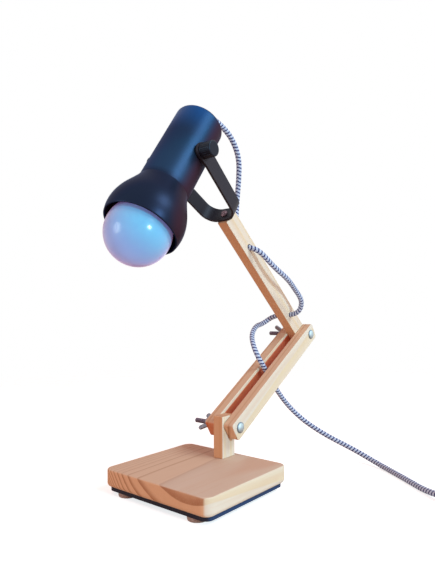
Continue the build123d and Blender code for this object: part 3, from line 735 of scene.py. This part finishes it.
def cord_piece(name, rings, gone):
    """Closed tube through rings, with its length in braid periods along V."""
    count = len(rings)
    faces = []
    places = []
    for i in range(count - 1):
        low, high = gone[i] / braid_period, gone[i + 1] / braid_period
        for j in range(cord_sides):
            k = (j + 1) % cord_sides
            a, b = i * cord_sides, (i + 1) * cord_sides
            faces.append((a + j, a + k, b + k, b + j))
            u, v = j / cord_sides, (j + 1) / cord_sides
            places += [(u, low), (v, low), (v, high), (u, high)]
    for i, order in ((0, -1), (count - 1, 1)):
        faces.append([i * cord_sides + j for j in range(cord_sides)][::order])
        places += [(0.5, gone[i] / braid_period)] * cord_sides
    piece = new_piece(name, rings.reshape(-1, 3).tolist(), faces, finishes["braid"])
    layer = piece.data.uv_layers.new(name="UVMap")
    layer.data.foreach_set("uv", np.array(places, np.float32).ravel())
    return piece


def cord(name, route):
    """Whole cord piece along a route, the points that it follows, and their distances along it."""
    line, gone = smooth_line(name, route)
    return cord_piece(name, cord_rings(line, gone), gone), line, gone


# The loop at the head bends at the tilt and at the swivel, so it is two pieces that meet between them
head_line, head_gone = smooth_line("flex_head", head_loop)
head_rings = cord_rings(head_line, head_gone)
meet = len(head_line) // 2
flex_head = cord_piece("flex_head", head_rings[: meet + 1], head_gone[: meet + 1])
flex_yoke = cord_piece("flex_yoke", head_rings[meet:], head_gone[meet:])
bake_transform(flex_head)
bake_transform(flex_yoke)
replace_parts(flex_head, "cord_head_loop")
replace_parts(flex_yoke, "cord_head_loop")

flex_in_head = cord("flex_in_head", in_head)[0]
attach(flex_in_head, "head")
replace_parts(flex_in_head, "cord_in_head")

flex_arm = cord("flex_arm", arm_loop)[0]
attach(flex_arm, "upper_arm")
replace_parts(flex_arm, "cord_arm_loop")

flex_elbow = cord("flex_elbow", elbow_loop)[0]
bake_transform(flex_elbow)
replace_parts(flex_elbow, "cord_elbow_loop")

flex_floor, floor_line, floor_gone = cord("flex_floor", to_switch)
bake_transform(flex_floor)
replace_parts(flex_floor, "cord_to_switch")
switch_pieces = [nodes[name] for name in nodes if name.startswith("switch_")]
switch_pieces.append(nodes["rocker_pin"])

flex_lead, lead_line, lead_gone = cord("flex_lead", lead)
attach(flex_lead, "base")
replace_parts(flex_lead, "cord_to_coil", "cord_coil", "cord_to_plug")


# Webbing tie round the coil
def rounded_box(x0, x1, z0, z1, radius, steps=5):
    """Outline of a box with round corners."""
    outline = []
    for x, z, turn in ((x1, z1, 0), (x0, z1, 90), (x0, z0, 180), (x1, z0, 270)):
        cx = x - radius if x == x1 else x + radius
        cz = z - radius if z == z1 else z + radius
        for step in range(steps + 1):
            a = math.radians(turn + 90 * step / steps)
            outline.append((cx + radius * math.cos(a), cz + radius * math.sin(a)))
    return outline


def band(name, outer, inner, width, material):
    """Closed band between two outlines, extruded to a width about Y 0."""
    count = len(outer)
    points = [(x, y, z) for outline in (outer, inner) for y in (-width / 2, width / 2) for x, z in outline]
    near_out, far_out, near_in, far_in = (n * count for n in range(4))
    faces = []
    for i in range(count):
        k = (i + 1) % count
        faces.append((near_out + i, near_out + k, far_out + k, far_out + i))
        faces.append((near_in + k, near_in + i, far_in + i, far_in + k))
        faces.append((near_out + k, near_out + i, near_in + i, near_in + k))
        faces.append((far_out + i, far_out + k, far_in + k, far_in + i))
    return new_piece(name, points, faces, material, smooth=False)


tie_thick = 0.8 * MM
tie_width = 9.0 * MM
tie_x0, tie_x1 = 20.05 * MM, 45.45 * MM
tie_top = 14.6 * MM
tie_corner = 1.6 * MM
tie_turn = math.radians(60)
tie_outer = rounded_box(tie_x0, tie_x1, 0.0, tie_top, tie_corner)
tie_inner = rounded_box(
    tie_x0 + tie_thick, tie_x1 - tie_thick, tie_thick, tie_top - tie_thick, tie_corner - tie_thick
)
tie = band("coil_tie_webbing", tie_outer, tie_inner, tie_width, finishes["tie"])
tie.location = Vector((coil_centre.x, coil_centre.y, 0)) * MM
tie.rotation_euler = (0, 0, tie_turn)
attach(tie, "base")
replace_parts(tie, "coil_tie")


# Felt feet
def felt_foot(name, x, y, radius, height):
    """Felt disc with a rounded edge and a slightly swollen side."""
    sides = 48
    edge = 0.9 * MM
    swell = 0.25 * MM
    outline = [
        (radius * 0.5, 0),
        (radius - edge, 0),
        (radius - 0.3 * edge, 0.3 * edge),
        (radius, edge),
        (radius + swell, height * 0.55),
        (radius, height - 0.6 * edge),
        (radius - 0.4 * edge, height),
    ]
    points = [(x, y, 0)]
    for r, z in outline:
        for step in range(sides):
            a = 2 * math.pi * step / sides
            points.append((x + r * math.cos(a), y + r * math.sin(a), z))
    points.append((x, y, height))
    last = 1 + (len(outline) - 1) * sides
    faces = []
    for step in range(sides):
        following = (step + 1) % sides
        faces.append((0, 1 + following, 1 + step))
        for row in range(len(outline) - 1):
            low, high = 1 + row * sides, 1 + (row + 1) * sides
            faces.append((low + step, low + following, high + following, high + step))
        faces.append((last + step, last + following, len(points) - 1))
    foot = new_piece(name, points, faces, finishes["felt"])
    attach(foot, "base")
    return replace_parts(foot, "base_feet")


feet_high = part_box("base_feet")[1]
foot_radius = 9.0 * MM
foot_height = feet_high.z
for index, (sx, sy) in enumerate(((-1, -1), (-1, 1), (1, -1), (1, 1))):
    foot_x = sx * (feet_high.x - foot_radius)
    foot_y = sy * (feet_high.y - foot_radius)
    felt_foot(f"felt_foot_{index + 1}", foot_x, foot_y, foot_radius, foot_height)


# Floor, world and lamps
def floor_finish(name, centre):
    """White with the lamp's shadow to the camera, warmer as a bounce, and clear far from a centre."""
    bounce = (0.80, 0.66, 0.54)
    white = (0.8, 0.8, 0.8)
    glow_colour = (0.93, 0.98, 1.0)
    glow_strength = 0.74
    fade_from, fade_to = 0.45, 1.1
    pale = Shader(name, base_color=bounce, roughness=0.9, specular_ior_level=0.1)
    diffuse = pale.add("ShaderNodeBsdfDiffuse")
    pale.feed(diffuse.inputs["Color"], white)
    glow = pale.add("ShaderNodeEmission")
    pale.feed(glow.inputs["Color"], glow_colour)
    pale.feed(glow.inputs["Strength"], glow_strength)
    lit = pale.add("ShaderNodeAddShader")
    pale.feed(lit.inputs[0], diffuse.outputs[0])
    pale.feed(lit.inputs[1], glow.outputs[0])
    seen = pale.add("ShaderNodeMixShader")
    pale.feed(seen.inputs[0], pale.add("ShaderNodeLightPath").outputs["Is Camera Ray"])
    pale.feed(seen.inputs[1], pale.bsdf.outputs[0])
    pale.feed(seen.inputs[2], lit.outputs[0])
    away = pale.vector_math("DISTANCE", pale.place(), centre).outputs["Value"]
    fade = pale.add("ShaderNodeMixShader")
    pale.feed(fade.inputs[0], pale.ramp(away, fade_from, fade_to))
    pale.feed(fade.inputs[1], seen.outputs[0])
    pale.feed(fade.inputs[2], pale.add("ShaderNodeBsdfTransparent").outputs[0])
    pale.feed(pale.tree.nodes["Material Output"].inputs["Surface"], fade.outputs[0])
    return pale.material


def new_floor():
    """Floor under the lamp, wide enough to fade out before its edge."""
    size = 3.0
    centre = Vector((0.05, -0.05, 0))
    corners = [(-size, -size, 0), (size, -size, 0), (size, size, 0), (-size, size, 0)]
    points = [Vector(corner) + centre for corner in corners]
    new_piece("floor", points, [(0, 1, 2, 3)], floor_finish("floor", centre), smooth=False)


def new_world():
    """White to the camera and in reflections, a dimmer warm fill on the object."""
    fill_colour = (1.0, 0.41, 0.29, 1.0)
    fill_strength = 0.44
    world = bpy.data.worlds.new("studio")
    bpy.context.scene.world = world
    world.use_nodes = True
    tree = world.node_tree
    backdrop = tree.nodes["Background"]
    backdrop.inputs["Color"].default_value = (1, 1, 1, 1)
    fill = tree.nodes.new("ShaderNodeBackground")
    fill.inputs["Color"].default_value = fill_colour
    fill.inputs["Strength"].default_value = fill_strength
    path = tree.nodes.new("ShaderNodeLightPath")
    seen = path.outputs["Is Camera Ray"]
    for name in ("Is Glossy Ray", "Is Transmission Ray"):
        either = tree.nodes.new("ShaderNodeMath")
        either.operation = "MAXIMUM"
        tree.links.new(seen, either.inputs[0])
        tree.links.new(path.outputs[name], either.inputs[1])
        seen = either.outputs[0]
    choice = tree.nodes.new("ShaderNodeMixShader")
    tree.links.new(seen, choice.inputs[0])
    tree.links.new(fill.outputs[0], choice.inputs[1])
    tree.links.new(backdrop.outputs[0], choice.inputs[2])
    tree.links.new(choice.outputs[0], tree.nodes["World Output"].inputs["Surface"])


def area_lamp(name, way, distance, size, power, colour):
    """Soft round lamp in a direction from the middle of the object, facing it."""
    middle = Vector((0.04, 0.0, 0.18))
    light = bpy.data.lights.new(name, "AREA")
    light.shape = "DISK"
    light.size = size
    light.energy = power
    light.color = colour
    lamp = new_object(name, light)
    lamp.location = middle + Vector(way).normalized() * distance
    lamp.rotation_mode = "QUATERNION"
    lamp.rotation_quaternion = (middle - lamp.location).to_track_quat("-Z", "Y")


new_floor()
new_world()
area_lamp("key", (-0.16, -0.966, 0.20), distance=1.6, size=0.24, power=14.0, colour=(0.60, 0.89, 1.0))
area_lamp("top", (0.20, -0.70, 0.68), distance=1.5, size=0.70, power=10.8, colour=(0.76, 0.94, 1.0))
area_lamp("side", (-0.92, 0.349, 0.179), distance=1.7, size=0.8, power=8.0, colour=(0.92, 0.96, 0.96))

# Camera at the photograph's place; the focal length is in pixels of a picture 580 high
camera_spot = Vector((-370.67, -334.51, 176.08)) * MM
camera_yaw = math.radians(39.60)
camera_pitch = math.radians(0.536)
camera_roll = math.radians(-0.395)
focal_pixels = 514.13
picture_height = 580.0
axis_below_middle = 14.68
forward = Vector(
    (
        math.cos(camera_yaw) * math.cos(camera_pitch),
        math.sin(camera_yaw) * math.cos(camera_pitch),
        math.sin(camera_pitch),
    )
)
level_right = forward.cross(Vector((0, 0, 1))).normalized()
level_up = level_right.cross(forward)
right = level_right * math.cos(camera_roll) + level_up * math.sin(camera_roll)
up = level_up * math.cos(camera_roll) - level_right * math.sin(camera_roll)
lens = bpy.data.cameras.new("camera")
lens.sensor_width = 36.0
lens.lens = focal_pixels / picture_height * lens.sensor_width
lens.shift_y = axis_below_middle / picture_height
lens.clip_start = 0.01
camera = new_object("camera", lens)
camera.matrix_world = Matrix.Translation(camera_spot) @ Matrix((right, up, -forward)).transposed().to_4x4()
bpy.context.scene.camera = camera
bpy.context.scene.view_settings.view_transform = "Standard"
